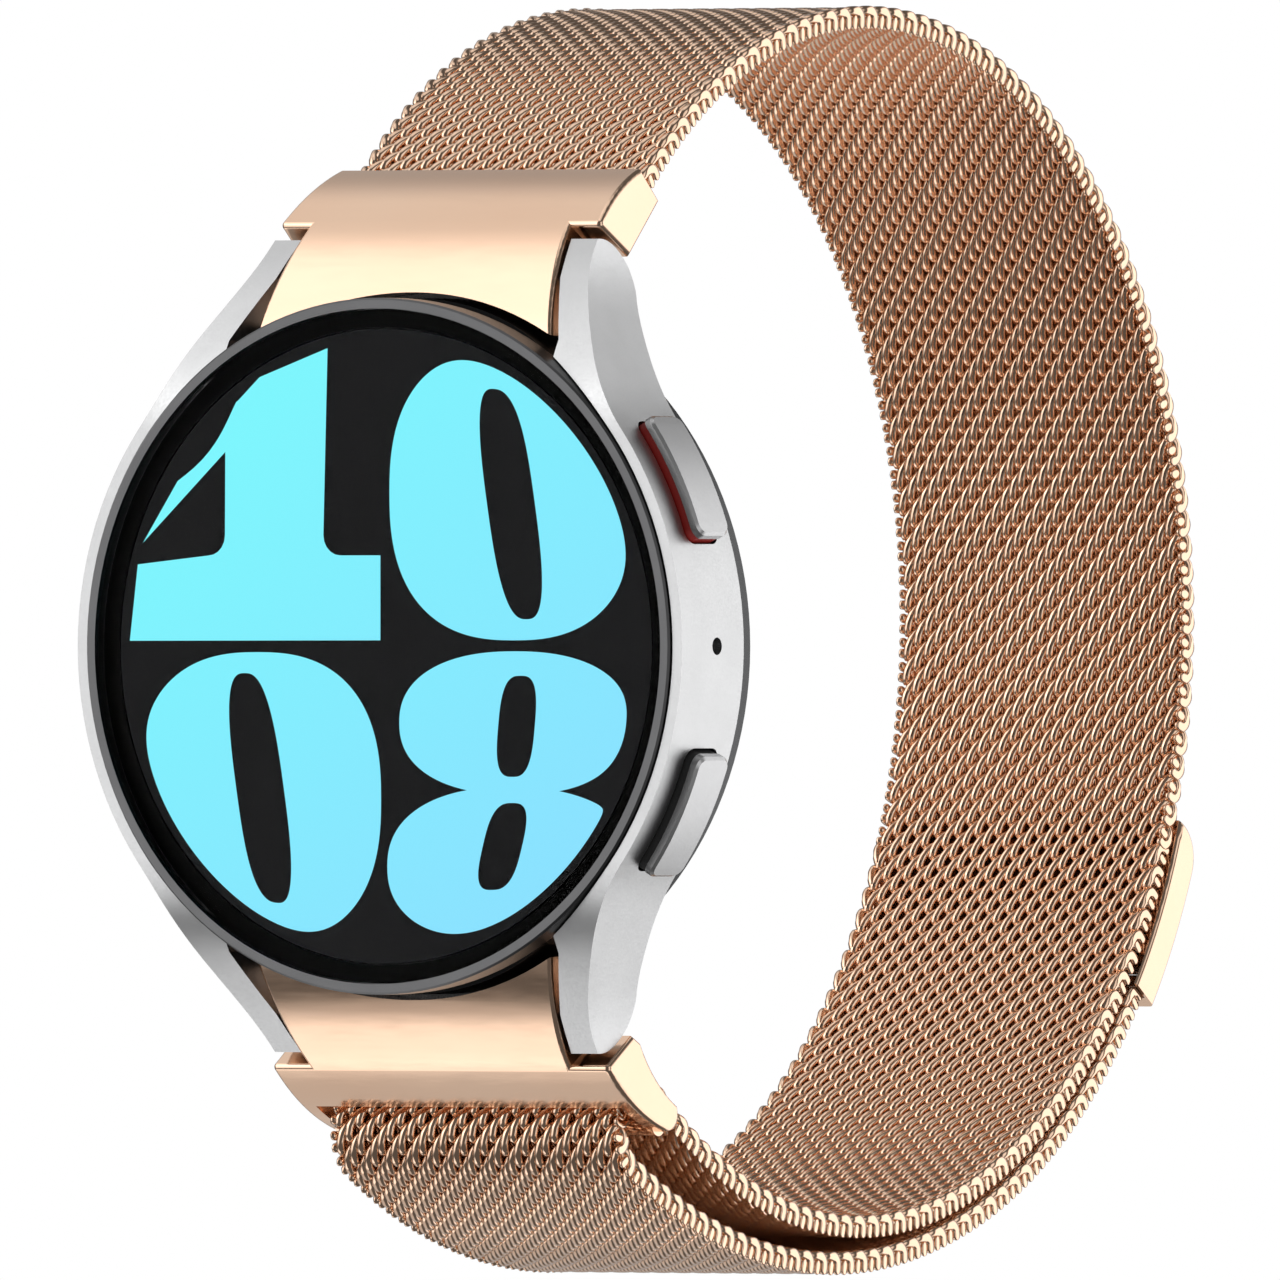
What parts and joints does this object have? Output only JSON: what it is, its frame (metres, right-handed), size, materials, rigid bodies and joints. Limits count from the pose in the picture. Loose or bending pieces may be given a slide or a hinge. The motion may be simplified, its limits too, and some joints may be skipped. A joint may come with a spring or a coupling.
{
  "type": "smartwatch",
  "caption": "Round smartwatch on a woven wire band, with side push buttons, quick-release end links, a slotted adjuster link and a magnetic clasp.",
  "frame": {"origin": "middle of the wrist opening, level with the middle of the dial", "axes": "+X towards the buttons at 3 o'clock, +Y from the dial towards the wrist, +Z towards 12 o'clock"},
  "size_m": [0.0428, 0.0749, 0.0761],
  "materials": {
    "case_metal": "fine satin anodised",
    "bezel_metal": "satin graphite anodised",
    "glass": "clear flat cover glass",
    "display": "black display that shows pale cyan digits",
    "back_shell": "dark smooth moulding",
    "sensor_glass": "dark polished glass",
    "rose_gold": "polished rose gold plate",
    "mesh": "woven rose gold wire",
    "button_metal": "fine satin anodised",
    "red_gasket": "dark red silicone",
    "black_gasket": "black silicone",
    "circuit_board": "green solder mask",
    "battery_wrap": "dark pouch",
    "steel": "bright steel",
    "copper": "copper winding",
    "frame_plastic": "black moulding"
  },
  "bodies": {
    "watch_head": {"case_frame": "case_metal", "bezel_ring": "bezel_metal", "cover_glass": "glass", "display_panel": "display", "display_frame": "frame_plastic", "main_board": "circuit_board", "board_shields": "steel", "battery": "battery_wrap", "vibration_motor": "steel", "speaker": "frame_plastic", "microphone": "black_gasket", "charging_coil": "copper", "sensor_board": "circuit_board", "sensor_optics": "frame_plastic", "back_cover": "back_shell", "back_gasket": "black_gasket", "back_screws": "steel", "sensor_window": "sensor_glass", "upper_button_switch": "frame_plastic", "lower_button_switch": "frame_plastic", "top_end_link": "rose_gold", "top_bar_barrel": "steel", "top_bar_fixed_pin": "steel", "top_bar_spring": "steel", "bottom_end_link": "rose_gold", "bottom_bar_barrel": "steel", "bottom_bar_fixed_pin": "steel", "bottom_bar_spring": "steel", "top_band_pin": "steel"},
    "upper_button_body": {"upper_button": "button_metal", "upper_button_gasket": "red_gasket"},
    "lower_button_body": {"lower_button": "button_metal", "lower_button_gasket": "black_gasket"},
    "top_release": {"top_bar_release_pin": "steel"},
    "bottom_release": {"bottom_bar_release_pin": "steel"},
    "band_top_run": {"band_top": "mesh"},
    "band_crown_run": {"band_crown": "mesh"},
    "band_back_run": {"band_back": "mesh"},
    "band_lower_run": {"band_lower": "mesh", "band_fold": "mesh"},
    "band_tail_run": {"band_tail": "mesh", "tail_pin": "steel", "clasp_shell": "rose_gold", "clasp_plate": "rose_gold", "clasp_magnets": "steel"}
  },
  "joints": [
    {"name": "upper_button_press", "type": "slide", "parent": "watch_head", "child": "upper_button_body", "axis": [-0.8878, 0, -0.4602], "range_m": [0, 0.00035], "stiffness_N_per_m": 4000, "springref_m": -0.0002},
    {"name": "lower_button_press", "type": "slide", "parent": "watch_head", "child": "lower_button_body", "axis": [-0.8878, 0, 0.4602], "range_m": [0, 0.00035], "stiffness_N_per_m": 4000, "springref_m": -0.0002},
    {"name": "top_release_slide", "type": "slide", "parent": "watch_head", "child": "top_release", "axis": [-1, 0, 0], "range_m": [0, 0.0012], "stiffness_N_per_m": 800, "springref_m": -0.0003, "deforming": ["top_bar_spring"]},
    {"name": "bottom_release_slide", "type": "slide", "parent": "watch_head", "child": "bottom_release", "axis": [-1, 0, 0], "range_m": [0, 0.0012], "stiffness_N_per_m": 800, "springref_m": -0.0003, "deforming": ["bottom_bar_spring"]},
    {"name": "band_pin_swing", "type": "hinge", "parent": "watch_head", "child": "band_top_run", "pos_m": [0, -0.02428, 0.02629], "axis": [1, 0, 0], "range_deg": [-3.4, 3.4]},
    {"name": "band_flex", "type": "hinge", "parent": "band_top_run", "child": "band_crown_run", "pos_m": [0, 0.00102, 0.03766], "axis": [1, 0, 0], "range_deg": [-8, 8], "stiffness_Nm_per_rad": 0.05},
    {"name": "band_crown_flex", "type": "hinge", "parent": "band_crown_run", "child": "band_back_run", "pos_m": [0, 0.02609, 0.02778], "axis": [1, 0, 0], "range_deg": [-8, 8]},
    {"name": "band_back_flex", "type": "hinge", "parent": "band_back_run", "child": "band_lower_run", "pos_m": [0, 0.0372, 0.0016], "axis": [1, 0, 0], "range_deg": [-3.4, 3.4]},
    {"name": "tail_swing", "type": "hinge", "parent": "band_lower_run", "child": "band_tail_run", "pos_m": [0, -0.02459, -0.03106], "axis": [-1, 0, 0], "range_deg": [0, 50]}
  ],
  "couplings": [
    {"joint": "band_pin_swing", "follows": "band_flex", "ratio": -0.40934},
    {"joint": "band_crown_flex", "follows": "band_flex", "ratio": -0.99112},
    {"joint": "band_back_flex", "follows": "band_flex", "ratio": 0.40046}
  ]
}
